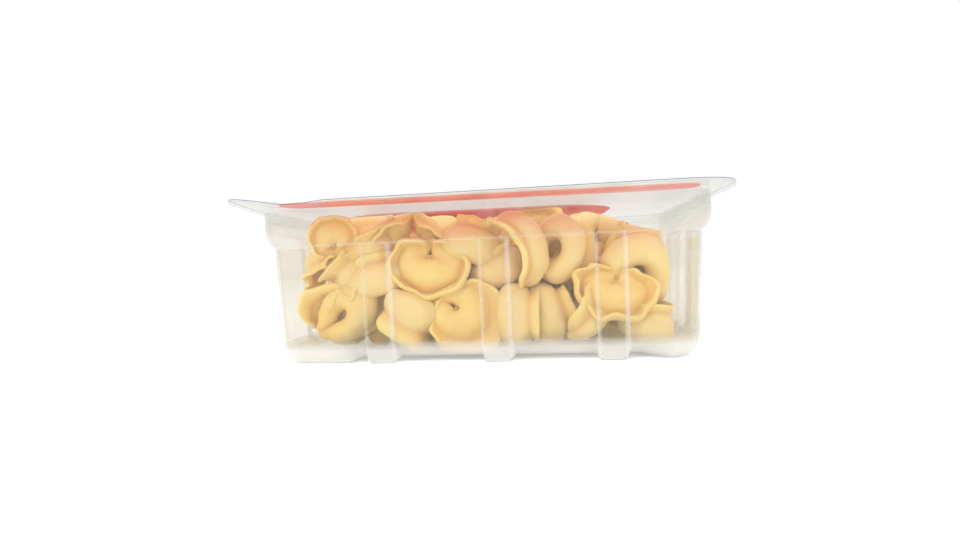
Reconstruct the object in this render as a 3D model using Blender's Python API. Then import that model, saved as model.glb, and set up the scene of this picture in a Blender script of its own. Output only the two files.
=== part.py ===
"""A sealed see-through tray of fresh tortellini: a thin thermoformed tray, its lid film, and the
heap of pasta inside. Metres, +Z up, origin under the middle of the pack, long side along X."""

import itertools
import random
from math import cos, exp, pi, radians, sin, sqrt

import bmesh
import bpy
from mathutils import Vector

# Driving dimensions, in metres.
FLANGE_HALF = (0.0900, 0.0720)      # half length and half depth of the sealing flange
SHOULDER_HALF = (0.0831, 0.0631)    # outside of the wide zone under the flange
FLANGE_CORNER = 0.024
FLANGE_SQUARE = (0.72, 0.72, 0.72, 0.36)    # its corners' squareness from the front right on; 1 is round
SHOULDER_CORNER = 0.016
LEAST_CORNER = 0.006
WALL = 0.0008
GAP = 0.0003                        # kept between pieces that touch
FILM_THICKNESS = 0.0003
FILM_TRIM = 0.0002                  # the film stops this far inside the flange's edge
PACK_TOP = 0.0594                   # top of the lid film, where it lies flat
SHOULDER_LOW = 0.0512               # the shoulder is upright down to here, then curves in
LEDGE_HEIGHT = 0.0439               # the shoulder meets the lower body here
LEDGE_INSET = 0.0034
SHOULDER_TURN = radians(50)         # how far round the shoulder's curve goes before the ledge
SHOULDER_STEPS = 3
DRAFT_ANGLE = radians(2.8)
BASE_FILLET = 0.0090
FILLET_ROWS = (1.0, 0.45, 0.13, 0.0)    # heights of its rows, as shares of the radius
FOOT_FILLET = 0.0025                # the ribs keep their width nearly down to the table
CORNER_FOOT_FILLET = 0.0035         # and so do the feet at the corners
CORNER_FOOT_STARTS = (-0.0450, 0.0600, 0.0310)  # where they start, to the left, right, and front or back
CORNER_FOOT_RUN = 0.0045
CORNER_FOOT_SIDEWAYS = 0.3          # how much of their depth the corner feet stand out endways
BASE_RISE = 0.0012                  # the base clears the table by this between its feet
FOOT_RUN_IN = 0.006                 # the feet's soles reach this far in, then rise to the base
FOOT_SLOPE = 0.004

LONG_RIBS = (-0.0360, 0.0070, 0.0475)   # places along X of the ribs in the long walls
END_RIBS = (-0.0205, 0.0205)            # places along Y of the ribs in the end walls
RIB_HALF = 0.0058
RIB_DEPTH = 0.0020
RIB_NARROWING = 0.7                 # half width lost on the inside, per wall thickness
RIB_SHAPE = ((-1.0, 0.0), (-0.74, 0.85), (-0.3, 1.0), (0.3, 1.0), (0.74, 0.85), (1.0, 0.0))
LONG_EXTRA = (-0.0500, -0.0450, -0.0150, 0.0270, 0.0600)
END_EXTRA = (-0.0360, -0.0310, 0.0, 0.0310, 0.0360)
LONG_STRAIGHT = 0.0625                  # half of a wall's straight stretch, between its corners
END_STRAIGHT = 0.0425
CORNER_STEPS = 6
SHARP_ANGLE = radians(50)

CURL_LIFT = 0.0022                  # the near left corner of the flange curls up
CURL_START = (-0.066, -0.034)
CURL_RUN = (0.022, 0.032)
DIP_DEPTH = 0.0010                  # beside that corner the near edge dips
DIP_PLACE = -0.062
DIP_HALF = 0.013
DIP_START = -0.064
DIP_RUN = 0.008

# The heap of pasta: a rounded block that fills the tray's inside, dented between its lumps.
HEAP_CLEARANCE = 0.0006
HEAP_LOW_X = -0.0745
HEAP_HIGH_X = 0.0715
HEAP_BOTTOM = 0.0024
HEAP_TOP = 0.0580
HEAP_END_DROP = 0.0105              # the heap falls away towards its right end
HEAP_FALL_START = 0.034
HEAP_FALL_RUN = 0.034
HEAP_ROUNDING = 0.0112
HEAP_CELL = 0.0044
LUMP_PITCH = (0.0205, 0.0205, 0.0190)   # one tortellino to the next along X, Y and Z
LUMP_RADIUS = 0.0112
LUMP_SHIFT = 0.16                       # how far a lump strays, as a share of the pitch
DIMPLE_DEPTH = 0.0032                   # the hollow in the middle of a tortellino
DIMPLE_RADIUS = 0.0042
DEEPEST_DENT = 0.0075
FLAT_BELOW = 0.85                       # skin that faces down more than this stays flat
DENTED_ABOVE = 0.25                     # and less than this is fully dented
SEED = 7


def clear_scene():
    """Remove whatever the open file holds."""
    for thing in list(bpy.data.objects):
        bpy.data.objects.remove(thing, do_unlink=True)


def make_material(name, colour, roughness, alpha=1.0):
    """A Principled material with one colour."""
    material = bpy.data.materials.new(name)
    material.use_nodes = True
    shader = material.node_tree.nodes["Principled BSDF"]
    shader.inputs["Base Color"].default_value = (*colour, 1.0)
    shader.inputs["Roughness"].default_value = roughness
    shader.inputs["Alpha"].default_value = alpha
    return material


def add_object(name, mesh_builder, material):
    """Make one closed, smooth-shaded object from a bmesh."""
    bmesh.ops.recalc_face_normals(mesh_builder, faces=mesh_builder.faces)
    mesh = bpy.data.meshes.new(name)
    mesh_builder.to_mesh(mesh)
    mesh_builder.free()
    mesh.materials.append(material)
    mesh.shade_smooth()
    mesh.set_sharp_from_angle(angle=SHARP_ANGLE)
    thing = bpy.data.objects.new(name, mesh)
    bpy.context.scene.collection.objects.link(thing)
    return thing


def clamp(value, low=0.0, high=1.0):
    return max(low, min(high, value))


def smooth_step(value):
    value = clamp(value)
    return value * value * (3.0 - 2.0 * value)


def side_stations(half, straight, extra, ribs, rib_half):
    """Places along one side as (place, share of the rib depth), from minus half to plus half.

    A side shorter than the walls' straight stretch draws its places together.
    """
    stations = [(place, 0.0) for place in extra]
    for rib in ribs:
        stations += [(rib + share * rib_half, depth) for share, depth in RIB_SHAPE]
    squeeze = min(half / straight, 1.0)
    inner = sorted((place * squeeze, depth) for place, depth in stations)
    return [(-half, 0.0), *inner, (half, 0.0)]


def squared(value, power):
    """A sine or cosine raised to a power below 1, which squares off a round corner."""
    return abs(value) ** power * (1.0 if value > 0 else -1.0)


def foot_share(x, y):
    """1 where the outline belongs to a corner foot, 0 between the feet."""
    left, right, aside = CORNER_FOOT_STARTS
    along = max(left - x, x - right)
    return smooth_step(along / CORNER_FOOT_RUN) * smooth_step((abs(y) - aside) / CORNER_FOOT_RUN)


def outline(half_x, half_y, corner, rib_out=0.0, foot_out=0.0, rib_half=RIB_HALF, square=(1, 1, 1, 1)):
    """A rounded rectangle with ribs and corner feet, counter-clockwise from the front.

    Each point is (x, y, how far it belongs to a rib or a foot, from 0 to 1).
    """
    long_side = side_stations(half_x - corner, LONG_STRAIGHT, LONG_EXTRA, LONG_RIBS, rib_half)
    end_side = side_stations(half_y - corner, END_STRAIGHT, END_EXTRA, END_RIBS, rib_half)
    sides = (
        [(place, -half_y - depth * rib_out, depth) for place, depth in long_side],
        [(half_x + depth * rib_out, place, depth) for place, depth in end_side],
        [(place, half_y + depth * rib_out, depth) for place, depth in reversed(long_side)],
        [(-half_x - depth * rib_out, place, depth) for place, depth in reversed(end_side)],
    )
    centres = ((1, -1), (1, 1), (-1, 1), (-1, -1))
    points = []
    for index, side in enumerate(sides):
        points += side
        centre_x = centres[index][0] * (half_x - corner)
        centre_y = centres[index][1] * (half_y - corner)
        for step in range(1, CORNER_STEPS):
            angle = pi / 2 * (index - 1 + step / CORNER_STEPS)
            x = centre_x + corner * squared(cos(angle), square[index])
            y = centre_y + corner * squared(sin(angle), square[index])
            points.append((x, y, 0.0))
    straight_x, straight_y = half_x - corner, half_y - corner
    footed = []
    for x, y, rib in points:
        core = Vector((clamp(x, -straight_x, straight_x), clamp(y, -straight_y, straight_y)))
        foot = foot_share(x, y)
        out = (Vector((x, y)) - core).normalized() * foot_out * foot
        footed.append((x + out.x * CORNER_FOOT_SIDEWAYS, y + out.y, max(rib, foot)))
    return footed


def flange_lift(x, y):
    """How far the flange rises out of its plane: a curled corner, and a dip beside it."""
    curl = smooth_step((CURL_START[0] - x) / CURL_RUN[0])
    curl *= smooth_step((CURL_START[1] - y) / CURL_RUN[1])
    dip = smooth_step(1.0 - abs(x - DIP_PLACE) / DIP_HALF) * clamp((DIP_START - y) / DIP_RUN)
    return CURL_LIFT * curl - DIP_DEPTH * dip


def add_ring(builder, points, height, lifted=0.0, rise=0.0):
    """One closed row of vertices at a height.

    lifted is its share of the flange's bends, and rise is what it rises between the feet.
    """
    ring = []
    for x, y, standing in points:
        raised = lifted * flange_lift(x, y) + rise * (1.0 - standing)
        ring.append(builder.verts.new((x, y, height + raised)))
    return ring


def join_rings(builder, rings):
    """Faces between each row of vertices and the next, and a face over each end."""
    for lower, upper in zip(rings, rings[1:]):
        count = len(lower)
        for index in range(count):
            after = (index + 1) % count
            builder.faces.new((lower[index], lower[after], upper[after], upper[index]))
    builder.faces.new(list(reversed(rings[0])))
    builder.faces.new(rings[-1])
    caps = [face for face in builder.faces if len(face.verts) > 4]
    bmesh.ops.triangulate(builder, faces=caps)


def fillet_inset(height, radius):
    """How far a rounded bottom edge has drawn in at a height above the flat."""
    if height >= radius:
        return 0.0
    return radius - sqrt(max(radius * radius - (radius - height) ** 2, 0.0))


def wall_rows(skin):
    """Rows of the tray's wall from the shoulder down, as (height, inset, rib depth, foot depth).

    skin is 0 for the outside and the wall's thickness for the inside. Where the shoulder is
    already further out than the rib, the rib is lost in it.
    """
    rows = [(SHOULDER_LOW, skin, 0.0, 0.0)]
    drop = SHOULDER_LOW - LEDGE_HEIGHT
    for step in range(1, SHOULDER_STEPS + 1):
        angle = SHOULDER_TURN * step / SHOULDER_STEPS
        inset = LEDGE_INSET * (1 - cos(angle)) / (1 - cos(SHOULDER_TURN))
        height = SHOULDER_LOW - drop * sin(angle) / sin(SHOULDER_TURN)
        rib = max(RIB_DEPTH - (LEDGE_INSET - inset), 0.0)
        rows.append((height, skin + inset, rib, 0.0))
    fillet = BASE_FILLET - skin
    foot = FOOT_FILLET - skin
    for share in FILLET_ROWS:
        above = share * fillet
        drafted = (LEDGE_HEIGHT - skin - above) * sin(DRAFT_ANGLE)
        drawn_in = fillet_inset(above, fillet)
        rib = RIB_DEPTH + drawn_in - fillet_inset(above, foot)
        corner_foot = drawn_in - fillet_inset(above, CORNER_FOOT_FILLET - skin)
        rows.append((above + skin, skin + LEDGE_INSET + drafted + drawn_in, rib, corner_foot))
    return rows


def wall_rings(builder, skin):
    """The rings of one skin of the tray's wall, from the shoulder down to the base panel."""
    rib_half = RIB_HALF - RIB_NARROWING * skin
    rings = []
    for height, inset, rib, foot in wall_rows(skin):
        half_x = SHOULDER_HALF[0] - inset
        half_y = SHOULDER_HALF[1] - inset
        corner = max(SHOULDER_CORNER - inset, LEAST_CORNER)
        rise = BASE_RISE * clamp(1.0 - (height - skin) / BASE_FILLET)
        points = outline(half_x, half_y, corner, rib, foot, rib_half)
        rings.append(add_ring(builder, points, height, rise=rise))
    for run_in, height in ((FOOT_RUN_IN, skin), (FOOT_RUN_IN + FOOT_SLOPE, skin + BASE_RISE)):
        points = outline(half_x - run_in, half_y - run_in, LEAST_CORNER)
        rings.append(add_ring(builder, points, height, rise=skin + BASE_RISE - height))
    return rings


def make_tray():
    """The tray: inside skin from its floor up, over the flange, and down the outside."""
    builder = bmesh.new()
    flange_top = PACK_TOP - FILM_THICKNESS - GAP
    inner_half = [side - WALL for side in SHOULDER_HALF]
    inside = list(reversed(wall_rings(builder, WALL)))
    mouth = outline(*inner_half, SHOULDER_CORNER - WALL)
    edge = outline(*FLANGE_HALF, FLANGE_CORNER, square=FLANGE_SQUARE)
    under = outline(*SHOULDER_HALF, SHOULDER_CORNER)
    brim = [
        add_ring(builder, mouth, flange_top),
        add_ring(builder, edge, flange_top, 1.0),
        add_ring(builder, edge, flange_top - WALL, 1.0),
        add_ring(builder, under, flange_top - WALL),
    ]
    join_rings(builder, inside + brim + wall_rings(builder, 0.0))
    return add_object("tray", builder, make_material("clear_plastic", (0.90, 0.92, 0.91), 0.15, 0.35))


def make_film():
    """The lid film, lying on the flange and following its bends."""
    builder = bmesh.new()
    trimmed = [side - FILM_TRIM for side in FLANGE_HALF]
    edge = outline(*trimmed, FLANGE_CORNER, square=FLANGE_SQUARE)
    seal = outline(*SHOULDER_HALF, SHOULDER_CORNER)
    low = PACK_TOP - FILM_THICKNESS
    rings = [
        add_ring(builder, seal, low),
        add_ring(builder, edge, low, 1.0),
        add_ring(builder, edge, PACK_TOP, 1.0),
        add_ring(builder, seal, PACK_TOP),
    ]
    join_rings(builder, rings)
    return add_object("film", builder, make_material("lid_film", (0.86, 0.32, 0.28), 0.2, 0.6))


def heap_half(height):
    """Half length and half depth that the tray's inside leaves for the heap at a height."""
    if height >= LEDGE_HEIGHT:
        share = clamp((SHOULDER_LOW - height) / (SHOULDER_LOW - LEDGE_HEIGHT))
        inset = LEDGE_INSET * share
    else:
        inset = LEDGE_INSET + (LEDGE_HEIGHT - height) * sin(DRAFT_ANGLE)
        inset += fillet_inset(height - WALL, BASE_FILLET)
    inset += WALL + HEAP_CLEARANCE
    return SHOULDER_HALF[0] - inset, SHOULDER_HALF[1] - inset


def lump_centres(half):
    """Centres of the tortellini in a block of these half sizes, strayed from an even packing."""
    strays = random.Random(SEED)
    counts = [round(2 * (half[axis] - LUMP_RADIUS) / LUMP_PITCH[axis]) for axis in range(3)]
    centres = []
    for numbers in itertools.product(*(range(count + 1) for count in counts)):
        centre = Vector()
        for axis, number in enumerate(numbers):
            reach = half[axis] - LUMP_RADIUS
            shift = strays.uniform(-LUMP_SHIFT, LUMP_SHIFT) * LUMP_PITCH[axis]
            centre[axis] = clamp((2 * number / counts[axis] - 1) * reach + shift, -reach, reach)
        centres.append(centre)
    return centres


def dent_depth(point, out, centres):
    """How far in from a point of the block's skin the nearest tortellino starts."""
    depth = DEEPEST_DENT
    for centre in centres:
        offset = point - centre
        rise = offset.dot(out)
        aside = offset.length_squared - rise * rise
        if rise > 0 and aside < LUMP_RADIUS ** 2:
            dimple = DIMPLE_DEPTH * exp(-aside / DIMPLE_RADIUS ** 2)
            depth = min(depth, rise - sqrt(LUMP_RADIUS ** 2 - aside) + dimple)
    return max(depth, 0.0)


def skin_point(corner, half, centres):
    """The heap's skin where a block's surface point, from -1 to 1 each way, ends up."""
    point = Vector([part * side for part, side in zip(corner, half)])
    reach = [side - HEAP_ROUNDING for side in half]
    core = Vector([clamp(part, -most, most) for part, most in zip(point, reach)])
    offset = point - core
    out = offset.normalized()
    point = core + out * max(abs(part) for part in offset)
    fade = smooth_step((out.z + FLAT_BELOW) / (FLAT_BELOW - DENTED_ABOVE))
    return point - out * fade * dent_depth(point, out, centres)


def make_heap():
    """The heap of tortellini, one solid out to its uneven outline."""
    half = ((HEAP_HIGH_X - HEAP_LOW_X) / 2, SHOULDER_HALF[1] - WALL, (HEAP_TOP - HEAP_BOTTOM) / 2)
    middle = (HEAP_HIGH_X + HEAP_LOW_X) / 2
    centres = lump_centres(half)
    builder = bmesh.new()
    bmesh.ops.create_cube(builder, size=2.0)
    for axis in range(3):
        cuts = round(2 * half[axis] / HEAP_CELL)
        normal = Vector([float(axis == other) for other in range(3)])
        for cut in range(1, cuts):
            everything = builder.verts[:] + builder.edges[:] + builder.faces[:]
            place = normal * (2.0 * cut / cuts - 1.0)
            bmesh.ops.bisect_plane(builder, geom=everything, plane_co=place, plane_no=normal)
    for vertex in builder.verts:
        point = skin_point(vertex.co, half, centres)
        share = (point.z + half[2]) / (2 * half[2])
        fall = smooth_step((point.x - HEAP_FALL_START) / HEAP_FALL_RUN)
        high = HEAP_TOP - HEAP_END_DROP * fall
        height = HEAP_BOTTOM + share * (high - HEAP_BOTTOM)
        room_x, room_y = heap_half(height)
        low_x = max(HEAP_LOW_X, -room_x)
        high_x = min(HEAP_HIGH_X, room_x)
        x = low_x + (point.x / half[0] + 1) / 2 * (high_x - low_x)
        vertex.co = (x, point.y / half[1] * room_y, height)
    return add_object("tortellini", builder, make_material("fresh_pasta", (0.86, 0.66, 0.33), 0.5))


def main():
    clear_scene()
    make_tray()
    make_film()
    make_heap()


main()
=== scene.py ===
import random
from itertools import product
from math import atan2, cos, exp, hypot, pi, radians, sin, sqrt

import bmesh
import bpy
from mathutils import Matrix, Vector, noise


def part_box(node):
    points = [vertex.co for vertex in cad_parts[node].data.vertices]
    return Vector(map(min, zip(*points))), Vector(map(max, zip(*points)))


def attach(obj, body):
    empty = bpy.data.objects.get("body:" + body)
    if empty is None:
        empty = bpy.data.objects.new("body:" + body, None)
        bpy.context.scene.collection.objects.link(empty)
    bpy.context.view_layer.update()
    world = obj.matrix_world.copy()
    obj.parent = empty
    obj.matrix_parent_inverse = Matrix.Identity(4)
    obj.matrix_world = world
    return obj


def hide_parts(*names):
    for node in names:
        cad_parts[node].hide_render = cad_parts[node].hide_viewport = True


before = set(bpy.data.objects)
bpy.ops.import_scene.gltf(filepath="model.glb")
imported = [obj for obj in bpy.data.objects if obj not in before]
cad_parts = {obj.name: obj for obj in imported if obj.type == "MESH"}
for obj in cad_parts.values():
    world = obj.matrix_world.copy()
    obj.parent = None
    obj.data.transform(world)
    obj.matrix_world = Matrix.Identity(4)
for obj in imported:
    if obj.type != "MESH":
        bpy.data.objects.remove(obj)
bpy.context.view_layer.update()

mm = 0.001
trayHigh = Vector(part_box("tray")[1])
filmHigh = Vector(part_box("film")[1])
heapLow, heapHigh = (Vector(corner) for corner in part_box("tortellini"))
noise.seed_set(11)      # the same unevenness every time


def clamp(value, low=0.0, high=1.0):
    return max(low, min(high, value))


def ease(value):
    value = clamp(value)
    return value * value * (3.0 - 2.0 * value)


def atLeast(low, share):
    return low + (1.0 - low) * share


def addPiece(name, bm, material, smooth=True):
    mesh = bpy.data.meshes.new(name)
    bm.to_mesh(mesh)
    bm.free()
    mesh.materials.append(material)
    if smooth:
        mesh.shade_smooth()
    piece = bpy.data.objects.new(name, mesh)
    bpy.context.scene.collection.objects.link(piece)
    return piece


def newMaterial(name):
    material = bpy.data.materials.new(name)
    material.use_nodes = True
    tree = material.node_tree
    tree.nodes.clear()
    return material, tree


def addNode(tree, kind, inputs=None, **settings):
    # inputs hold numbers, colours of three parts, or the sockets that feed them
    node = tree.nodes.new(kind)
    for setting, value in settings.items():
        setattr(node, setting, value)
    for name, value in (inputs or {}).items():
        socket = node.inputs[name]
        if isinstance(value, bpy.types.NodeSocket):
            tree.links.new(value, socket)
        else:
            socket.default_value = (*value, 1.0) if socket.type == "RGBA" else value
    return node


def showSurface(tree, shader):
    addNode(tree, "ShaderNodeOutputMaterial", {"Surface": shader.outputs[0]})


def objectPlace(tree):
    return addNode(tree, "ShaderNodeTexCoord").outputs["Object"]


def mathNode(tree, operation, *values):
    return addNode(tree, "ShaderNodeMath", dict(enumerate(values)), operation=operation).outputs[0]


def mapped(tree, value, start, end, low=0.0, high=1.0):
    return addNode(tree, "ShaderNodeMapRange", {"Value": value, 1: start, 2: end, 3: low, 4: high}).outputs[0]


def mixNumber(tree, share, first, second):
    return addNode(tree, "ShaderNodeMix", {0: share, 2: first, 3: second}).outputs[0]


def mixColour(tree, share, first, second):
    return addNode(tree, "ShaderNodeMix", {0: share, 6: first, 7: second}, data_type="RGBA").outputs[2]


def mixShader(tree, share, first, second):
    return addNode(tree, "ShaderNodeMixShader", {0: share, 1: first.outputs[0], 2: second.outputs[0]})


def stored(tree, name):
    return addNode(tree, "ShaderNodeAttribute", attribute_name=name).outputs["Fac"]


def cloudy(tree, place, scale, detail, roughness=0.5):
    values = {"Vector": place, "Scale": scale, "Detail": detail, "Roughness": roughness}
    return addNode(tree, "ShaderNodeTexNoise", values).outputs[0]


def bumped(tree, height, strength, distance):
    values = {"Height": height, "Strength": strength, "Distance": distance}
    return addNode(tree, "ShaderNodeBump", values).outputs[0]


def taperedBy(tree, value, share, most):
    # value, less up to this part of it where the share is 1
    return mathNode(tree, "MULTIPLY", value, mathNode(tree, "SUBTRACT", 1.0, mathNode(tree, "MULTIPLY", share, most)))


def sheenOf(tree, straight, grazing):
    # share of light that a smooth sheet throws back, the same from either side
    facing = addNode(tree, "ShaderNodeLayerWeight", {"Blend": 0.5}).outputs["Facing"]
    steep = mathNode(tree, "POWER", facing, 4.0)
    return mathNode(tree, "ADD", mathNode(tree, "MULTIPLY", steep, grazing), straight)


cameraValues = {
    "place": Vector((29.97, -255.36, 33.86)) * mm,
    "turn": -8.19,      # degrees to the right of straight on
    "tilt": -0.30,      # degrees up
    "roll": -2.27,
    "lens": 21.0,
    "nearest": 5 * mm,
}


def makeCamera():
    v = cameraValues
    turn, tilt, roll = (radians(v[name]) for name in ("turn", "tilt", "roll"))
    ahead = Vector((sin(turn) * cos(tilt), cos(turn) * cos(tilt), sin(tilt)))
    right = Vector((cos(turn), -sin(turn), 0.0))
    up = right.cross(ahead)
    rolledRight = right * cos(roll) + up * sin(roll)
    rolledUp = up * cos(roll) - right * sin(roll)
    data = bpy.data.cameras.new("camera")
    data.lens = v["lens"]
    data.clip_start = v["nearest"]
    camera = bpy.data.objects.new("camera", data)
    bpy.context.scene.collection.objects.link(camera)
    axes = Matrix((rolledRight, rolledUp, -ahead)).transposed().to_4x4()
    camera.matrix_world = Matrix.Translation(v["place"]) @ axes
    bpy.context.scene.camera = camera


lightValues = {
    "sky": 1.0,
    "lamps": {      # place and size of each softbox in metres, and its power
        "key": ((-0.30, -0.60, 0.70), 0.50, 2.6),
        "fill": ((0.70, -0.50, 0.30), 0.50, 0.3),
        "back": ((0.10, 0.75, 0.60), 0.80, 0.6),
    },
    "aim": (0.0, 0.0, 0.03),
    "clearLayers": 32,      # see-through surfaces that a ray may pass
}


def makeLights():
    v = lightValues
    scene = bpy.context.scene
    scene.world = bpy.data.worlds.new("studio")
    scene.world.use_nodes = True
    sky = scene.world.node_tree.nodes["Background"]
    sky.inputs["Color"].default_value = (1.0, 1.0, 1.0, 1.0)
    sky.inputs["Strength"].default_value = v["sky"]
    for name, (place, size, power) in v["lamps"].items():
        data = bpy.data.lights.new(name, "AREA")
        data.size = size
        data.energy = power
        lamp = bpy.data.objects.new(name, data)
        lamp.location = place
        lamp.rotation_euler = (Vector(v["aim"]) - Vector(place)).to_track_quat("-Z", "Y").to_euler()
        scene.collection.objects.link(lamp)
    scene.view_settings.view_transform = "Standard"
    scene.cycles.transparent_max_bounces = v["clearLayers"]


floorValues = {
    "reach": 3.0,       # metres to each side
    "colour": (0.90, 0.90, 0.90),
    "glow": 0.22,
}


def makeFloor():
    v = floorValues
    material, tree = newMaterial("paleFloor")
    matte = addNode(tree, "ShaderNodeBsdfDiffuse", {"Color": v["colour"]})
    lit = addNode(tree, "ShaderNodeEmission", {"Strength": v["glow"]})
    showSurface(tree, addNode(tree, "ShaderNodeAddShader", {0: matte.outputs[0], 1: lit.outputs[0]}))
    bm = bmesh.new()
    bmesh.ops.create_grid(bm, x_segments=1, y_segments=1, size=v["reach"])
    floorPiece = addPiece("floor", bm, material, smooth=False)


trayValues = {
    "wall": 0.8 * mm,
    # the flange
    "flangeLow": 58.0 * mm,     # its underside
    "flangeTrim": 0.1 * mm,     # it ends this far inside the box
    "flangeCorner": 24 * mm,
    "flangeSquare": (0.72, 0.72, 0.72, 0.36),       # its corners from the front right on, 1 is round
    "flangeShares": (0.0, 0.25, 0.5, 0.75, 0.9),    # its rings, from the edge in to the shoulder
    "bendRadius": 0.9 * mm,     # where it turns down
    "bendTurns": (20, 45, 70, 90),
    "curlLift": 2.2 * mm,       # the front left corner curls up
    "curlStart": (66 * mm, 34 * mm),
    "curlRun": (22 * mm, 32 * mm),
    "dipDepth": 1.0 * mm,       # and the front edge dips beside it
    "dipPlace": -62 * mm,
    "dipHalf": 13 * mm,
    "dipStart": 64 * mm,
    "bendRun": 8 * mm,          # both grow over this, from nothing at the shoulder
    # the shoulder, and the ledge that curves in to the body
    "shoulderInset": (6.9 * mm, 8.9 * mm),      # from the flange's edge, along X and Y
    "shoulderCorner": 16 * mm,
    "shoulderHeights": (56.5, 54.4, 54.1, 53.0),    # in mm
    "shoulderLow": 51.2 * mm,
    "ledge": 43.9 * mm,
    "ledgeInset": 3.4 * mm,
    "ledgeTurn": 52,
    "ledgeSteps": 7,
    # the body and the base
    "draft": 2.8,
    "underLedge": (0.5, 1.5),       # rings this far below the ledge, in mm
    "wallHeights": (36, 28, 20, 14),
    "fillet": 9.0 * mm,
    "filletShares": (1.0, 0.8, 0.62, 0.46, 0.33, 0.22, 0.13, 0.06, 0.02, 0.0),
    "leastCorner": 6 * mm,
    "baseRings": (      # how far in and how high, in mm
        (2, 0), (4, 0), (6, 0), (6.6, 0.1), (7.5, 0.6), (8.4, 1.1), (9.5, 1.2), (12, 1.2), (16, 1.2),
    ),
    "baseRise": 1.2 * mm,       # the base clears the table by this between its feet
    # the ribs, each with a foot, and the feet at the corners
    "longRibs": (-36.0 * mm, 7.0 * mm, 47.5 * mm),
    "endRibs": (-20.5 * mm, 20.5 * mm),
    "ribHalf": 6.0 * mm,
    "ribDepth": 2.0 * mm,
    "ribSection": (     # across and out, as shares of the half width and the depth
        (-1.12, 0.0), (-1.0, 0.05), (-0.93, 0.35), (-0.86, 0.80), (-0.78, 0.96), (-0.62, 1.0), (-0.2, 1.0),
        (0.2, 1.0), (0.45, 1.0), (0.58, 0.96), (0.70, 0.80), (0.84, 0.40), (0.95, 0.08), (1.10, 0.0),
    ),
    "footFillet": 2.5 * mm,
    "cornerFootFillet": 3.5 * mm,
    "cornerFootStarts": (-45 * mm, 60 * mm, 31 * mm),   # to the left, to the right, to the front or back
    "cornerFootRun": 4.5 * mm,
    "cornerFootSideways": 0.3,
    # points of the outline between the ribs, in mm, and half the length of each straight side
    "longPlaces": (-57, -53, -50, -49, -48, -47, -46, -45, -24, -20, -15, -9, -4, 18, 23, 27, 31, 36, 57),
    "endPlaces": (-36, -35, -34, -33, -32, -31, -10, -5, 0, 5, 10, 31, 32, 33, 34, 35, 36),
    "longStraight": 58.5 * mm,
    "endStraight": 38.5 * mm,
    "cornerSteps": 14,
}


def sideStations(straight, nominal, places, ribs):
    v = trayValues
    stations = [(place * mm, 0.0) for place in places]
    for rib in ribs:
        stations += [(rib + share * v["ribHalf"], depth) for share, depth in v["ribSection"]]
    squeeze = min(straight / nominal, 1.0)
    inner = sorted((place * squeeze, depth) for place, depth in stations)
    return [(-straight, 0.0)] + inner + [(straight, 0.0)]


def mirrored(stations):
    return [(-place, depth) for place, depth in reversed(stations)]


def squared(value, power):
    return abs(value) ** power * (1.0 if value > 0 else -1.0)


def footShare(x, y):
    left, right, aside = trayValues["cornerFootStarts"]
    run = trayValues["cornerFootRun"]
    return ease(max(left - x, x - right) / run) * ease((abs(y) - aside) / run)


def trayOutline(halfX, halfY, corner, ribOut=0.0, footOut=0.0, flangeShare=0.0):
    # a rounded rectangle with ribs and feet, counter-clockwise: x, y and how far it is rib and foot
    v = trayValues
    longSide = sideStations(halfX - corner, v["longStraight"], v["longPlaces"], v["longRibs"])
    endSide = sideStations(halfY - corner, v["endStraight"], v["endPlaces"], v["endRibs"])
    sides = (
        [(place, -halfY - depth * ribOut, depth) for place, depth in longSide],
        [(halfX + depth * ribOut, place, depth) for place, depth in endSide],
        [(-place, halfY + depth * ribOut, depth) for place, depth in mirrored(longSide)],
        [(-halfX - depth * ribOut, -place, depth) for place, depth in mirrored(endSide)],
    )
    points = []
    for index, side in enumerate(sides):
        points += side
        centreX = (1, 1, -1, -1)[index] * (halfX - corner)
        centreY = (-1, 1, 1, -1)[index] * (halfY - corner)
        power = 1.0 + (v["flangeSquare"][index] - 1.0) * flangeShare
        for step in range(1, v["cornerSteps"]):
            angle = pi / 2 * (index - 1 + step / v["cornerSteps"])
            points.append((centreX + corner * squared(cos(angle), power),
                           centreY + corner * squared(sin(angle), power), 0.0))
    footed = []
    for x, y, rib in points:
        core = Vector((clamp(x, corner - halfX, halfX - corner), clamp(y, corner - halfY, halfY - corner)))
        foot = footShare(x, y)
        out = (Vector((x, y)) - core).normalized() * footOut * foot
        footed.append((x + out.x * v["cornerFootSideways"], y + out.y, rib, foot))
    return footed


def flangeLift(x, y):
    # how far the flange, and the film on it, bends up or down
    v = trayValues
    (startX, startY), (runX, runY) = v["curlStart"], v["curlRun"]
    curl = ease((-x - startX) / runX) * ease((-y - startY) / runY)
    dip = ease(1.0 - abs(x - v["dipPlace"]) / v["dipHalf"]) * clamp((-y - v["dipStart"]) / v["bendRun"])
    halfX = trayHigh.x - v["shoulderInset"][0] - v["shoulderCorner"]
    halfY = trayHigh.y - v["shoulderInset"][1] - v["shoulderCorner"]
    away = hypot(max(abs(x) - halfX, 0.0), max(abs(y) - halfY, 0.0)) - v["shoulderCorner"]
    free = 1.0 - (1.0 - clamp(away / v["bendRun"])) ** 2        # nothing bends over the shoulder
    return (v["curlLift"] * curl - v["dipDepth"] * dip) * free


def filletInset(height, radius):
    if height >= radius:
        return 0.0
    return radius - sqrt(max(radius * radius - (radius - height) ** 2, 0.0))


# a row of the tray is its half sizes, corner, height, rib and foot depth, and how far it is flange

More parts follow.
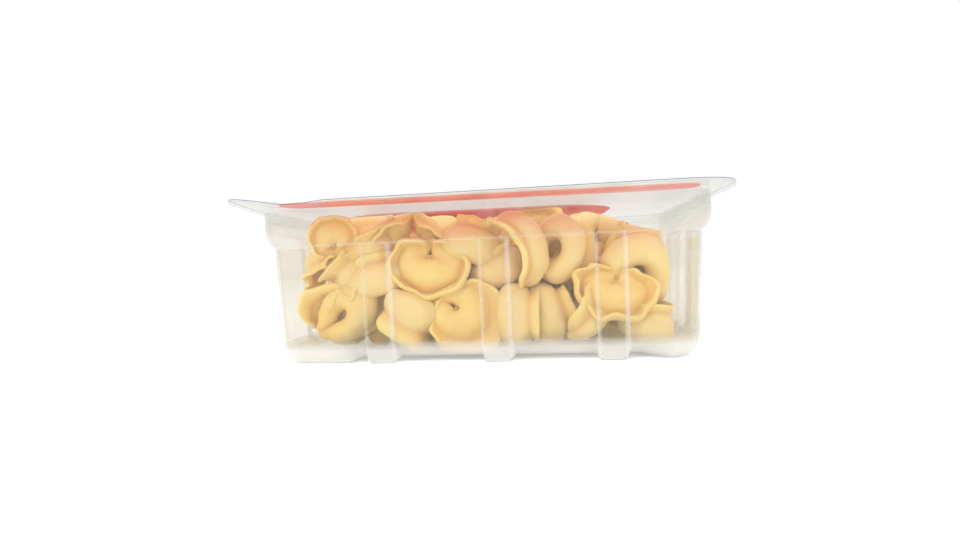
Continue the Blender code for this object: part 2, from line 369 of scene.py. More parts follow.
def flangeRows(shoulderX, shoulderY):
    v = trayValues
    top, corner = v["flangeLow"], v["shoulderCorner"]
    edgeX, edgeY = trayHigh.x - v["flangeTrim"], trayHigh.y - v["flangeTrim"]
    cornerDrop = v["flangeCorner"] - corner
    rows = []
    for share in v["flangeShares"]:
        x = edgeX + (shoulderX - edgeX) * share
        y = edgeY + (shoulderY - edgeY) * share
        rows.append((x, y, v["flangeCorner"] - cornerDrop * share, top, 0.0, 0.0, 1.0 - share ** 2))
    for degrees in v["bendTurns"]:
        out = v["bendRadius"] * (1 - sin(radians(degrees)))
        drop = v["bendRadius"] * (1 - cos(radians(degrees)))
        rows.append((shoulderX + out, shoulderY + out, corner + out, top - drop, 0.0, 0.0, 0.0))
    return rows


def shoulderRows(shoulderX, shoulderY):
    v = trayValues
    corner = v["shoulderCorner"]
    heights = [height * mm for height in v["shoulderHeights"]] + [v["shoulderLow"]]
    rows = [(shoulderX, shoulderY, corner, height, 0.0, 0.0, 0.0) for height in heights]
    turn = radians(v["ledgeTurn"])
    drop = v["shoulderLow"] - v["ledge"]
    for step in range(1, v["ledgeSteps"] + 1):
        angle = turn * step / v["ledgeSteps"]
        inset = v["ledgeInset"] * (1 - cos(angle)) / (1 - cos(turn))
        height = v["shoulderLow"] - drop * sin(angle) / sin(turn)
        rib = max(v["ribDepth"] - (v["ledgeInset"] - inset), 0.0)
        rows.append((shoulderX - inset, shoulderY - inset, corner - inset, height, rib, 0.0, 0.0))
    return rows


def bodyRows(shoulderX, shoulderY):
    v = trayValues
    heights = [v["ledge"] - below * mm for below in v["underLedge"]]
    heights += [height * mm for height in v["wallHeights"]]
    heights += [v["fillet"] * share for share in v["filletShares"]]
    rows = []
    for height in heights:
        inset = v["ledgeInset"] + (v["ledge"] - height) * sin(radians(v["draft"]))
        drawn = filletInset(height, v["fillet"])
        rib = v["ribDepth"] + drawn - filletInset(height, v["footFillet"])
        foot = drawn - filletInset(height, v["cornerFootFillet"])
        corner = max(v["shoulderCorner"] - inset - drawn, v["leastCorner"])
        inset += drawn
        rows.append((shoulderX - inset, shoulderY - inset, corner, height, rib, foot, 0.0))
    baseX, baseY = rows[-1][:2]
    for step, rise in v["baseRings"]:
        rows.append((baseX - step * mm, baseY - step * mm, v["leastCorner"], rise * mm, 0.0, 0.0, 0.0))
    return rows


def trayRings():
    # each ring of the tray's outside, from the flange's edge down: its points and how creased each is, the creases
    # whitened partly as thicker plastic and partly as painted highlight
    v = trayValues
    shoulder = trayHigh.x - v["shoulderInset"][0], trayHigh.y - v["shoulderInset"][1]
    rows = flangeRows(*shoulder) + shoulderRows(*shoulder) + bodyRows(*shoulder)
    soles = next(index for index, row in enumerate(rows) if row[3] == 0.0)
    rings = []
    for index, (x, y, corner, height, rib, foot, lifted) in enumerate(rows):
        if index < soles:
            rise = v["baseRise"] * clamp(1.0 - height / v["fillet"])
        else:
            rise = v["baseRise"] - height
        ring = []
        for px, py, inRib, inFoot in trayOutline(x, y, corner, rib, foot, lifted):
            bent = flangeLift(px, py) if lifted else 0.0
            # the ledge line and the sides of the ribs get a white veil: partly thicker plastic, partly painted
            # highlight
            creaseAndHighlight = 0.7 if height == v["ledge"] else 0.0
            if height < v["ledge"] and index <= soles:
                creaseAndHighlight = 4 * inRib * (1 - inRib)        # along the sides of the ribs
            ring.append(((px, py, height + bent + rise * (1.0 - max(inRib, inFoot))), creaseAndHighlight))
        rings.append(ring)
    return rings


def loftRings(bm, rings):
    # a sheet from ring to ring of points, closed in the middle of the last
    verts = bmesh.ops.create_circle(bm, cap_ends=False, segments=len(rings[0]), radius=1.0)["verts"]
    verts.sort(key=lambda vert: atan2(vert.co.y, vert.co.x) % (2 * pi))
    lofted = []
    for index, points in enumerate(rings):
        if index:
            made = bmesh.ops.extrude_edge_only(bm, edges=ringEdges(verts))["geom"]
            verts = nextRing(verts, {item for item in made if isinstance(item, bmesh.types.BMVert)})
        for vert, point in zip(verts, points):
            vert.co = point
        lofted.append(verts)
    bmesh.ops.contextual_create(bm, geom=verts)
    bmesh.ops.triangulate(bm, faces=[face for face in bm.faces if len(face.verts) > 4])
    return lofted


def ringEdges(ring):
    pairs = zip(ring, ring[1:] + ring[:1])
    return [next(edge for edge in vert.link_edges if edge.other_vert(vert) is after) for vert, after in pairs]


def nextRing(ring, made):
    # the new neighbour of each vertex
    neighbours = ((edge.other_vert(vert) for edge in vert.link_edges) for vert in ring)
    return [next(other for other in others if other in made) for others in neighbours]


def faceAway(bm, wrong):
    # turn the sheet over if any of its faces looks the wrong way
    bmesh.ops.recalc_face_normals(bm, faces=bm.faces)
    bm.normal_update()
    if any(wrong(face) for face in bm.faces):
        bmesh.ops.reverse_faces(bm, faces=bm.faces)


def makeTray():
    v = trayValues
    rings = trayRings()
    bm = bmesh.new()
    creasedAndHighlit = bm.verts.layers.float.new("creasedAndHighlit")
    lofted = loftRings(bm, [[point for point, creaseAndHighlight in ring] for ring in rings])
    for ring, verts in zip(rings, lofted):
        for (point, creaseAndHighlight), vert in zip(ring, verts):
            vert[creasedAndHighlit] = creaseAndHighlight
    faceAway(bm, lambda face: face.normal.z > 0 and face.calc_center_median().z < 0.5 * mm)
    shell = addPiece("trayShell", bm, trayMaterial())
    walls = shell.modifiers.new("walls", "SOLIDIFY")
    walls.thickness = v["wall"]
    walls.offset = -1.0
    shell.data.set_sharp_from_angle(angle=radians(60))
    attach(shell, "root")
    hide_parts("tray")


trayLook = {
    # the milky veil: heights where it starts and is full, and how much
    "rimVeil": (52.6 * mm, 54.0 * mm, 0.0, 0.20),
    "lowVeil": (8.5 * mm, 5.0 * mm, 0.0, 0.50),
    "haze": (34 * mm, 8 * mm, 0.025, 0.06),
    "clouds": (0.35, 0.70, -0.02, 0.05),
    "cloudScale": 38.0,
    "slantBlend": 0.35,
    "slantPower": 1.6,
    "slantVeil": 0.45,      # more where it is seen at a slant
    # veil along the ledge and the rib sides, partly painted highlight
    "creaseAndHighlightVeil": 0.23,
    "mostVeil": 0.92,
    "flange": (57.2 * mm, 57.9 * mm),       # the flange starts here, and is clearer
    "flangeLessVeil": 0.72,
    "flangeLessShine": 0.6,
    # the veil's colours, and the heights between which they change
    "bodyTone": (0.83, 0.81, 0.71),
    "rimTone": (0.70, 0.775, 0.765),
    # whiter low down and on the creases: partly the thick milky fillet, partly painted light that brightens the base
    # where it sits in shade
    "whiteLitTone": (0.95, 0.955, 0.945),
    "flangeTone": (0.70, 0.77, 0.77),
    "toRim": (48 * mm, 54 * mm),
    "toWhiteLit": (12 * mm, 4 * mm),
    "glow": (0.5, 0.2),     # light let through, in the body and where it is white
    "clear": (0.973, 0.974, 0.960),
    "ripple": (90.0, 0.08, 1 * mm),         # scale, strength and depth
    "gloss": 0.10,
    "shine": (0.03, 0.55),
}


def trayMaterial():
    # clear plastic with a milky veil, thicker in the upright rim, low down and on its creases; whiter low down and on
    # the creases, partly thicker plastic, partly painted light on the shaded base and painted highlight on the
    # creases
    v = trayLook
    material, tree = newMaterial("clearPlastic")
    place = objectPlace(tree)
    high = addNode(tree, "ShaderNodeSeparateXYZ", {"Vector": place}).outputs["Z"]
    creaseAndHighlight = stored(tree, "creasedAndHighlit")
    flange = mapped(tree, high, *v["flange"])

    facing = addNode(tree, "ShaderNodeLayerWeight", {"Blend": v["slantBlend"]}).outputs["Facing"]
    slant = mathNode(tree, "MULTIPLY", mathNode(tree, "POWER", facing, v["slantPower"]), v["slantVeil"])
    patchy = mapped(tree, cloudy(tree, place, v["cloudScale"], 3.0), *v["clouds"])
    veil = mathNode(tree, "ADD", mapped(tree, high, *v["rimVeil"]), mapped(tree, high, *v["lowVeil"]))
    veil = mathNode(tree, "ADD", veil, mathNode(tree, "ADD", patchy, slant))
    veil = mathNode(tree, "ADD", veil, mapped(tree, high, *v["haze"]))
    # more veil along the creases: partly thicker plastic, partly painted highlight
    veil = mathNode(tree, "ADD", veil, mathNode(tree, "MULTIPLY", creaseAndHighlight, v["creaseAndHighlightVeil"]))
    veil = taperedBy(tree, veil, flange, v["flangeLessVeil"])
    veil = addNode(tree, "ShaderNodeClamp", {"Value": veil, "Max": v["mostVeil"]}).outputs[0]

    # whiter low down and along the creases: partly thicker plastic, partly painted light on the shaded base and
    # painted highlight on the creases
    whitenedAndLit = mathNode(tree, "MAXIMUM", mapped(tree, high, *v["toWhiteLit"]), creaseAndHighlight)
    tone = mixColour(tree, mapped(tree, high, *v["toRim"]), v["bodyTone"], v["rimTone"])
    tone = mixColour(tree, whitenedAndLit, tone, v["whiteLitTone"])
    tone = mixColour(tree, flange, tone, v["flangeTone"])
    milk = addNode(tree, "ShaderNodeBsdfDiffuse", {"Color": tone})
    glow = addNode(tree, "ShaderNodeBsdfTranslucent", {"Color": tone})
    body = mixShader(tree, mapped(tree, whitenedAndLit, 0.0, 1.0, *v["glow"]), milk, glow)
    clear = addNode(tree, "ShaderNodeBsdfTransparent", {"Color": v["clear"]})
    sheet = mixShader(tree, veil, clear, body)

    scale, strength, depth = v["ripple"]
    ripple = bumped(tree, cloudy(tree, place, scale, 1.0), strength, depth)
    gloss = addNode(tree, "ShaderNodeBsdfGlossy", {"Roughness": v["gloss"], "Normal": ripple})
    shine = taperedBy(tree, sheenOf(tree, *v["shine"]), flange, v["flangeLessShine"])
    showSurface(tree, mixShader(tree, shine, sheet, gloss))
    return material


filmValues = {
    "thickness": 0.25 * mm,
    "lower": 0.05 * mm,     # it lies this far under the top of its box
    "steps": (0.0, 1.5, 3.5, 5.5, 7.5, 9.0, 12.0, 20.0),        # rings this far in, in mm
    "squareRun": 9.0,       # its corners are round from here in
    "leastCorner": 8 * mm,
    # printed fields: front, back, left, right and corner radius of each, in mm
    "stripe": (-63.0, -47.6, -75.0, 76.0, 7.6),
    "panel": (-12.0, 61.0, -72.0, 55.0, 28.0),
    "printTurn": -3,
    "printSoft": 0.25 * mm,
    "stripeInk": (0.95, 0.33, 0.28),
    "panelInk": (0.88, 0.17, 0.09),
    "inkTint": (1.0, 0.50, 0.42),       # light that comes straight through the ink
    "clear": (0.99, 0.99, 0.99),
    "cover": (0.03, 0.86),  # how much it hides where it is bare and where it is printed
    "glow": 0.55,
    "wave": (30.0, 0.10, 2 * mm),       # scale, strength and depth
    "gloss": 0.12,
    "shine": (0.02, 0.22),
    "edgeColour": (0.10, 0.20, 0.25),   # the cut edge gathers light and looks blue-grey
    "edgeRoughness": 0.3,
    "edgeAlpha": 0.9,
}


def makeFilm():
    v = filmValues
    height = filmHigh.z - trayValues["curlLift"] - v["lower"]
    rings = []
    for step in v["steps"]:
        inset = step * mm
        corner = max(trayValues["flangeCorner"] - inset, v["leastCorner"])
        near = clamp(1.0 - (step / v["squareRun"]) ** 2)
        ring = trayOutline(filmHigh.x - inset, filmHigh.y - inset, corner, 0.0, 0.0, near)
        rings.append([(px, py, height + flangeLift(px, py)) for px, py, *shares in ring])
    bm = bmesh.new()
    loftRings(bm, rings)
    faceAway(bm, lambda face: face.normal.z < -0.5)
    film = addPiece("lidFilm", bm, filmMaterial())
    film.data.materials.append(cutEdgeMaterial())
    sheet = film.modifiers.new("sheet", "SOLIDIFY")
    sheet.material_offset_rim = 1
    sheet.thickness = v["thickness"]
    sheet.offset = -1.0
    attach(film, "root")
    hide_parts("film")


def cutEdgeMaterial():
    v = filmValues
    material, tree = newMaterial("filmEdge")
    look = {"Base Color": v["edgeColour"], "Roughness": v["edgeRoughness"], "Alpha": v["edgeAlpha"]}
    showSurface(tree, addNode(tree, "ShaderNodeBsdfPrincipled", look))
    return material


def printMask(tree, x, y, values):
    # 1 inside a rectangle with round corners: the distance from its core against the corner radius
    front, back, left, right, corner = (value * mm for value in values)
    inX = addNode(tree, "ShaderNodeClamp", {"Value": x, "Min": left + corner, "Max": right - corner})
    inY = addNode(tree, "ShaderNodeClamp", {"Value": y, "Min": front + corner, "Max": back - corner})
    core = addNode(tree, "ShaderNodeCombineXYZ", {"X": inX.outputs[0], "Y": inY.outputs[0]})
    flat = addNode(tree, "ShaderNodeCombineXYZ", {"X": x, "Y": y})
    ends = {0: flat.outputs[0], 1: core.outputs[0]}
    away = addNode(tree, "ShaderNodeVectorMath", ends, operation="DISTANCE").outputs["Value"]
    soft = filmValues["printSoft"]
    return mapped(tree, away, corner + soft, corner - soft)


def filmMaterial():
    v = filmValues
    material, tree = newMaterial("printedFilm")
    place = objectPlace(tree)
    turn = (0.0, 0.0, radians(v["printTurn"]))
    turned = addNode(tree, "ShaderNodeMapping", {"Vector": place, "Rotation": turn}).outputs[0]
    axes = addNode(tree, "ShaderNodeSeparateXYZ", {"Vector": turned}).outputs
    stripe, panel = (printMask(tree, axes["X"], axes["Y"], v[name]) for name in ("stripe", "panel"))
    printed = mathNode(tree, "MAXIMUM", stripe, panel)

    colour = mixColour(tree, stripe, v["panelInk"], v["stripeInk"])
    ink = addNode(tree, "ShaderNodeBsdfDiffuse", {"Color": colour})
    through = addNode(tree, "ShaderNodeBsdfTranslucent", {"Color": colour})
    body = mixShader(tree, v["glow"], ink, through)
    tint = mixColour(tree, printed, v["clear"], v["inkTint"])
    clear = addNode(tree, "ShaderNodeBsdfTransparent", {"Color": tint})
    sheet = mixShader(tree, mapped(tree, printed, 0.0, 1.0, *v["cover"]), clear, body)

    scale, strength, depth = v["wave"]
    wave = bumped(tree, cloudy(tree, place, scale, 2.0), strength, depth)
    gloss = addNode(tree, "ShaderNodeBsdfGlossy", {"Roughness": v["gloss"], "Normal": wave})
    showSurface(tree, mixShader(tree, sheenOf(tree, *v["shine"]), sheet, gloss))
    return material


doughValues = {
    "ringRadius": 7.0 * mm,
    "frontOut": 5.6 * mm,       # half width of the filled front, across the ring
    "frontTall": 6.0 * mm,
    "backOut": 3.0 * mm,
    "backTall": 3.6 * mm,
    "looseEnds": (0.3, 0.4),    # how much of these an end keeps that was never joined
    "sheet": 0.95 * mm,         # half the thickness of the sealed edge
    "edgeStart": 30,            # the sealed edge takes the section from here to as far past the top
    "edgeRoot": 80,             # and leaves the belly here
    "leastEdge": 0.6 * mm,
    "leastFlare": 0.35,         # share of the flare at the root and at the back
    "joinedRun": 0.12,          # share of half a turn over which the ends grow together
    "joinedMore": (0.25, 0.20),         # how much thicker they are there, across and up
    "lapRun": 0.10,
    "overlap": 1.1 * mm,        # how far one end lies over the other
    "bendLength": 14 * mm,
    "unevenness": ((110, 0.80), (260, 0.28)),       # scale and depth in mm, as of hand-sized dough
    "waveScale": 2.6,
    "waveDepth": 4 * mm,
    "pleats": 11,
    "pleatDepth": 0.32 * mm,
    "foldShadeTurn": 35,             # where the painted shade in the crease beside the sealed edge lies, and its half width
    "foldShadeHalf": 17,
    "templateRadius": 3.0,
}


def ringTemplate(sections, steps, closed=True):
    # a plain ring spun from a circle, far wider than its tube so that both angles can be read back from it
    radius = doughValues["templateRadius"]
    slit = 0.0 if closed else 0.01
    bm = bmesh.new()
    circle = bmesh.ops.create_circle(bm, cap_ends=False, segments=sections, radius=1.0)["verts"]
    bmesh.ops.rotate(bm, verts=circle, cent=(0, 0, 0), matrix=Matrix.Rotation(pi / 2, 3, "X"))
    bmesh.ops.translate(bm, verts=circle, vec=(radius, 0, 0))
    edges = list({edge for vert in circle for edge in vert.link_edges})
    bmesh.ops.rotate(bm, verts=circle, cent=(0, 0, 0), matrix=Matrix.Rotation(slit - pi, 3, "Z"))
    bmesh.ops.spin(bm, geom=circle + edges, cent=(0, 0, 0), axis=(0, 0, 1), angle=2 * (pi - slit), steps=steps,
                   use_merge=closed)
    if not closed:
        bmesh.ops.holes_fill(bm, edges=[edge for edge in bm.edges if edge.is_boundary])
    mesh = bpy.data.meshes.new("ringTemplate")
    bm.to_mesh(mesh)
    bm.free()
    return mesh


def softLimit(value, start, give):
    if value <= start:
        return value
    return start + give * (1.0 - exp((start - value) / give))


roomValues = {
    "clearance": 0.3 * mm,
    "give": 1.4 * mm,           # dough starts to flatten this far before it touches
    "endGive": (3, 4),          # at the heap's ends, in gives: where it starts, and how softly
    "endDrop": 10.5 * mm,       # the heap is this much lower at its right end
    "fallStart": 34 * mm,
    "fallRun": 34 * mm,
}


def trayRoom(z):
    # half sizes and corner of the room inside the tray at a height
    v = trayValues
    inset = v["wall"] + roomValues["clearance"]
    if z < v["ledge"]:
        inset += v["ledgeInset"] + (v["ledge"] - z) * sin(radians(v["draft"])) + filletInset(max(z, 0.0), v["fillet"])
    else:
        inset += v["ledgeInset"] * ease((v["shoulderLow"] - z) / (v["shoulderLow"] - v["ledge"]))
    halfX = trayHigh.x - v["shoulderInset"][0] - inset
    halfY = trayHigh.y - v["shoulderInset"][1] - inset
    return halfX, halfY, max(v["shoulderCorner"] - inset, v["leastCorner"])


def pressed(point):
    # soft dough flattens against the tray, the base and the film instead of passing through them
    v = roomValues
    give = v["give"]
    halfX, halfY, corner = trayRoom(point.z)
    past = Vector((abs(point.x) - halfX + corner, abs(point.y) - halfY + corner))
    if past.x > 0 and past.y > 0:
        away, push = past.length - corner, past.normalized()
    elif past.x > past.y:
        away, push = past.x - corner, Vector((1.0, 0.0))
    else:
        away, push = past.y - corner, Vector((0.0, 1.0))
    extra = away - softLimit(away, -give, give)
    point.x -= extra * push.x * (1.0 if point.x > 0 else -1.0)
    point.y -= extra * push.y * (1.0 if point.y > 0 else -1.0)
    before, softness = (share * give for share in v["endGive"])
    point.x = -softLimit(-point.x, -heapLow.x - before, softness)
    point.x = softLimit(point.x, heapHigh.x - before, softness)
    top = heapHigh.z - v["endDrop"] * ease((point.x - v["fallStart"]) / v["fallRun"])
    point.z = -softLimit(-point.z, -heapLow.z - give, give)
    point.z = softLimit(point.z, top - give, give)
    return point


def doughSection(turn, out, tall, edge, flare):
    # the cut through the ring: across, up, and 1 at the tip of the sealed edge
    v = doughValues
    start, root = v["edgeStart"], radians(v["edgeRoot"])
    if turn < radians(start):
        angle = -pi / 2 + (turn + pi / 2) / radians(start + 90) * (root + pi / 2)
        return out * cos(angle), tall * sin(angle), 0.0
    if turn > radians(180 - start):
        angle = (pi - root) + (turn - radians(180 - start)) / radians(start + 90) * (root + pi / 2)
        return out * cos(angle), tall * sin(angle), 0.0
    share = sin((1.0 - abs(turn - pi / 2) / radians(90 - start)) * pi / 2)
    side = 1.0 if turn < pi / 2 else -1.0
    bend = flare * atLeast(v["leastFlare"], share)
    half = v["sheet"] + (out * cos(root) - v["sheet"]) * (1 - share) ** 2
    half *= sqrt(max(1.0 - max(1.0 - edge * (1 - share) / v["sheet"], 0.0) ** 2, 0.0))     # a rounded tip
    across = edge * share * sin(bend) + side * half * cos(bend)
    up = tall * sin(root) + edge * share * cos(bend) - side * half * sin(bend)
    return across, up, share


def doughPoint(theta, phi, spot):
    v = doughValues
    seed = spot["seed"]
    back = abs(theta) / pi                       # 0 at the filled front, 1 where the ends meet
    full = 1.0 - back ** spot["taper"]
    loose = spot["wrap"] < 1.0
    keepOut, keepTall = v["looseEnds"] if loose else (1.0, 1.0)
    backOut, backTall = keepOut * v["backOut"], keepTall * v["backTall"]
    out = backOut + (v["frontOut"] * spot["fat"] - backOut) * full
    tall = backTall + (v["frontTall"] * spot["fat"] - backTall) * full
    edge = spot["brim"] * mm * sqrt(max(1.0 - (back / spot["spread"]) ** 2, 0.0)) + v["leastEdge"]
    flare = radians(spot["flare"]) * atLeast(v["leastFlare"], full)
    turn = (phi + pi / 2) % (2 * pi) - pi / 2     # from the bottom, up the outside, and round
    across, up, thin = doughSection(turn, out, tall, edge, flare)
    roll = radians(spot["roll"]) * full
    across, up = across * cos(roll) + up * sin(roll), up * cos(roll) - across * sin(roll)

    # the ends are pressed together, one lying over the other, unless the piece never was closed
    joined = 0.0 if loose else exp(-((1.0 - back) / v["joinedRun"]) ** 2)
    lap = 0.0 if loose else (1.0 if theta > 0 else -1.0) * exp(-((1.0 - back) / v["lapRun"]) ** 2)
    theta *= spot["wrap"]
    moreAcross, moreUp = v["joinedMore"]
    distance = v["ringRadius"] * spot["open"] + across * (1 + moreAcross * joined)
    up = up * (1 + moreUp * joined) + v["overlap"] * lap * 0.5
    distance += v["overlap"] * lap * 0.5 + spot["pinch"] * mm * joined ** 3
    point = Vector((distance * cos(theta) * (1 + spot["squash"]), distance * sin(theta) * (1 - spot["squash"]), up))
    point.z += spot["bend"] * (point.x * point.x - point.y * point.y) / v["bendLength"]

    (wide, deep), (fine, slight) = v["unevenness"]
    shift = noise.noise_vector(point * wide + seed) * deep * mm
    shift += noise.noise_vector(point * fine + seed) * slight * mm
    outward = Vector((cos(theta), sin(theta), 0))
    wave = noise.noise(outward * v["waveScale"] + seed) * thin * spot["frill"] * v["waveDepth"]
    pleats = sin(theta * v["pleats"] + seed.x) * clamp(back * 1.6 - 0.45) * v["pleatDepth"]     # towards the back
    point += shift + outward * (pleats + wave)

    filled = clamp(full * 1.3 - 0.2) * clamp(cos(phi) * 0.8 + 0.45) * (1 - ease(thin * 3))
    # painted shade: a deeper golden colour in the crease beside the sealed edge and where the ends are pressed
    # together
    beside = min(abs(turn - radians(v["foldShadeTurn"])), abs(turn - radians(180 - v["foldShadeTurn"])))
    foldShade = clamp(1.0 - beside / radians(v["foldShadeHalf"])) * atLeast(0.4, full)
    return point, filled, thin, max(foldShade, 0.8 * joined)


def makeDough(bm, template, spot):
    # one tortellino: the plain ring drawn out into a filled belly, a sealed edge and joined ends
    start = len(bm.verts)
    bm.from_mesh(template)
    kinds = bm.verts.layers.float
    layers = [kinds.get(name) or kinds.new(name) for name in ("filled", "thin", "foldShade", "tone")]
    bm.verts.ensure_lookup_table()
    for vert in bm.verts[start:]:
        theta = atan2(vert.co.y, vert.co.x)
        phi = atan2(vert.co.z, hypot(vert.co.x, vert.co.y) - doughValues["templateRadius"])
        point, *shares = doughPoint(theta, phi, spot)
        vert.co = pressed(spot["axes"] @ (point * spot["size"]) + spot["place"])
        for layer, share in zip(layers, (*shares, spot["tone"])):
            vert[layer] = share


def aimed(front, edge):
    # axes that turn the filled front towards one direction and the sealed edge towards another
    front = Vector(front).normalized()
    edge = Vector(edge)
    edge = (edge - front * edge.dot(front)).normalized()
    return Matrix((front, edge.cross(front), edge)).transposed()


def doughSpot(number, place, front, edge, **shape):
    spot = {
        "place": Vector(place) * mm,
        "axes": aimed(front, edge),
        "seed": Vector((number * 3.7 + 1.3, number * 1.9, number * 5.3)),
        "tone": number * 0.618 % 1.0,       # how pale this one is
        "size": 1.0,
        "brim": 6.0,            # length of the sealed edge at the front, in mm
        "flare": 40.0,          # how far it leans out
        "roll": 10.0,           # how far the whole section is turned outwards
        "spread": 0.85,         # how far round the sealed edge reaches
        "taper": 2.2,           # how late the belly thins towards the ends
        "fat": 1.0,
        "open": 1.0,            # how wide the ring is
        "wrap": 1.0,            # share of a full turn; under 1 the ends don't meet
        "squash": 0.0,
        "bend": 0.0,
        "frill": 0.4,           # how wavy the sealed edge is
        "pinch": 1.5,           # how far the joined ends stand out, in mm
    }
    spot.update(shape)
    return spot


# the tortellini against the near wall: middle in mm, then where the filled front and the sealed edge point
frontRow = {
    # lower left
    "smoothRing": dict(
        place=(-53.0, -49.0, 17.8), front=(0.80, 0.0, 0.60), edge=(0.05, 1, 0),
        flare=60, squash=0.16, open=1.0, fat=1.06, pinch=0.5, size=0.98),
    "looseFlap": dict(
        place=(-61.0, -43.5, 17.0), front=(-0.25, -0.1, 1), edge=(0.3, -1, 0.1),
        flare=30, brim=7, size=0.92, wrap=0.62, open=1.15, fat=0.72, spread=1.0),
    "behindFlap": dict(place=(-58.0, -33.0, 17.5), front=(0.3, -1, 0.3), edge=(1, 0.2, 0.3), flare=20),
    # upper left
    "smallHat": dict(
        place=(-57.0, -48.0, 45.0), front=(0.1, 0.0, 1), edge=(0.3, -1, -0.45),
        flare=-45, roll=65, size=0.76, brim=5, open=0.85, fat=1.1, squash=0.08, frill=0.5),
    "foldedScrap": dict(
        place=(-56.0, -46.5, 32.0), front=(0.9, 0.1, -0.3), edge=(0.3, -0.9, 0.2),
        flare=-20, roll=40, size=0.88, frill=2.4, brim=8, wrap=0.55, open=1.3, fat=0.6),
    "foldedCorner": dict(
        place=(-60.0, -44.0, 37.5), front=(-0.7, -0.5, 0.1), edge=(0.4, -0.5, -0.9),
        flare=10, size=0.85, frill=1.6, brim=7, wrap=0.6, open=1.2, fat=0.6),
    "besideScrap": dict(
        place=(-52.0, -41.0, 34.0), front=(0.3, -0.9, -0.3), edge=(-0.7, -0.2, 0.7), flare=25, size=0.9, frill=1.0),
    "upperLeft": dict(
        place=(-45.0, -43.5, 44.5), front=(0.5, 0.5, 0.3), edge=(-0.35, -0.7, 0.8), flare=45, size=0.88, brim=7.5),
    "leftOfHat": dict(
        place=(-40.5, -43.0, 29.0), front=(0.5, -0.8, 0.25), edge=(-0.35, 0.2, 1), flare=10, brim=3, size=1.08),
    # middle
    "bigHat": dict(
        place=(-19.0, -45.5, 36.5), front=(-0.10, -0.30, -1), edge=(0.10, -1, 0.32),
        flare=-70, roll=96, fat=1.35, brim=7.0, spread=0.97, size=0.97, open=0.72, pinch=3, squash=-0.08, frill=0.5),
    "aboveHat": dict(
        place=(-27.0, -39.5, 46.0), front=(-0.15, 0.3, -1), edge=(0.1, -1, -0.1),
        flare=-45, roll=70, brim=7.5, spread=0.99, pinch=4, size=1.05),
    "underHat": dict(
        place=(-28.0, -44.5, 18.5), front=(0.6, -0.8, -0.1), edge=(-0.4, -0.2, -0.9),
        flare=15, size=1.05, brim=8, wrap=0.7, open=1.2),
    "openHat": dict(
        place=(-9.5, -46.5, 18.0), front=(0.75, 0.05, -0.65), edge=(0.35, -0.9, -0.05),
        flare=-35, roll=80, fat=1.25, brim=9, spread=0.62, open=0.8, size=0.95, squash=0.05),
    "rightOfHat": dict(
        place=(-4.5, -40.5, 40.5), front=(0.1, -1, 0.3), edge=(0.3, 0.6, 1), flare=10, fat=1.1, brim=4),
    "longBent": dict(
        place=(10.5, -44.0, 38.0), front=(0.72, -0.55, 0.42), edge=(-0.62, -0.75, -0.2),
        flare=10, roll=5, brim=7.5, wrap=0.50, open=1.85, fat=0.82, spread=1.0, taper=3),
    "behindBent": dict(
        place=(5.5, -38.0, 33.0), front=(0.3, -1, -0.1), edge=(-0.5, 0.2, 1), flare=20, fat=1.1, brim=3, size=0.95),
    "tallRing": dict(
        place=(28.5, -43.5, 39.5), front=(0.85, -0.45, -0.1), edge=(0.45, 0.85, -0.1),
        flare=30, fat=0.84, open=1.12, squash=-0.08),
    "lowDome": dict(place=(12.9, -47.0, 15.5), front=(-0.1, -1, 0.1), edge=(1, -0.1, 0), flare=20, fat=1.0, brim=4),
    "besideDome": dict(place=(23.5, -42.5, 15.0), front=(0.2, -0.9, 0.0), edge=(0.9, 0.5, 0.2), flare=20, brim=4),
    "lowCrescent": dict(
        place=(36.5, -43.5, 12.5), front=(0.8, -0.5, 0.3), edge=(-0.5, -0.4, 0.8),
        flare=0, roll=10, size=0.95, brim=8, wrap=0.6, open=1.3, fat=0.7),
    # right
    "rightHat": dict(
        place=(49.0, -45.5, 24.0), front=(-0.25, -0.4, -0.85), edge=(0.05, -0.95, 0.40),
        flare=-66, roll=88, fat=1.4, size=0.92, brim=7.0, spread=0.90, open=0.68, pinch=3, squash=-0.12, frill=0.8),
    "thickRing": dict(
        place=(58.0, -42.0, 30.0), front=(0.7, -0.2, 0.7), edge=(-0.2, 1, 0.1), flare=30, size=1.22, fat=0.90),
    "lowRight": dict(
        place=(60.5, -43.0, 10.5), front=(0.7, -0.6, -0.2), edge=(-0.3, 0.3, 0.9), flare=20, size=0.98, brim=4),
    "farRight": dict(place=(60.0, -32.0, 38.0), front=(0.1, -0.5, 1), edge=(0.2, 1, 0.3), flare=30, size=0.95),
}


def makeFrontTortellini():
    bm = bmesh.new()
    joined = ringTemplate(32, 64)
    loose = ringTemplate(32, 64, closed=False)
    for number, values in enumerate(frontRow.values()):
        spot = doughSpot(number, **values)
        makeDough(bm, joined if spot["wrap"] == 1.0 else loose, spot)
    for template in (joined, loose):
        bpy.data.meshes.remove(template)
    finishPasta("tortelliniFront", bm)


heapValues = {
    "seed": 7,
    "columns": (-60.0, -41.0, -20.0, 2.0, 23.0, 42.0, 55.0),        # all in mm
    "rows": (-25.0, 0.0, 24.0, 46.5),
    "layers": (13.5, 31.0, 46.5),
    "jitter": 2.5,
    "backRow": 40,              # from here back they are a piece of their own
    "buried": (40, -20, 30),    # none between these under the top layer: to each side, front and back
    "emptyCorner": (58, 44, 20),        # none beyond the first two and below the third
    "shapes": {
        "size": (0.90, 1.06),
        "flare": (0, 70),
        "roll": (0, 32),
        "fat": (0.9, 1.08),
        "frill": (0.2, 0.9),
        "brim": (4.5, 7.5),
        "squash": (-0.10, 0.10),
        "bend": (-0.12, 0.12),
    },
    "firstNumber": 101,
}


def unseen(x, y, z):
    v = heapValues
    aside, front, back = v["buried"]
    cornerX, cornerY, cornerZ = v["emptyCorner"]
    buried = z < v["layers"][-1] and abs(x) < aside and front < y < back
    return buried or abs(x) > cornerX and abs(y) > cornerY and z < cornerZ


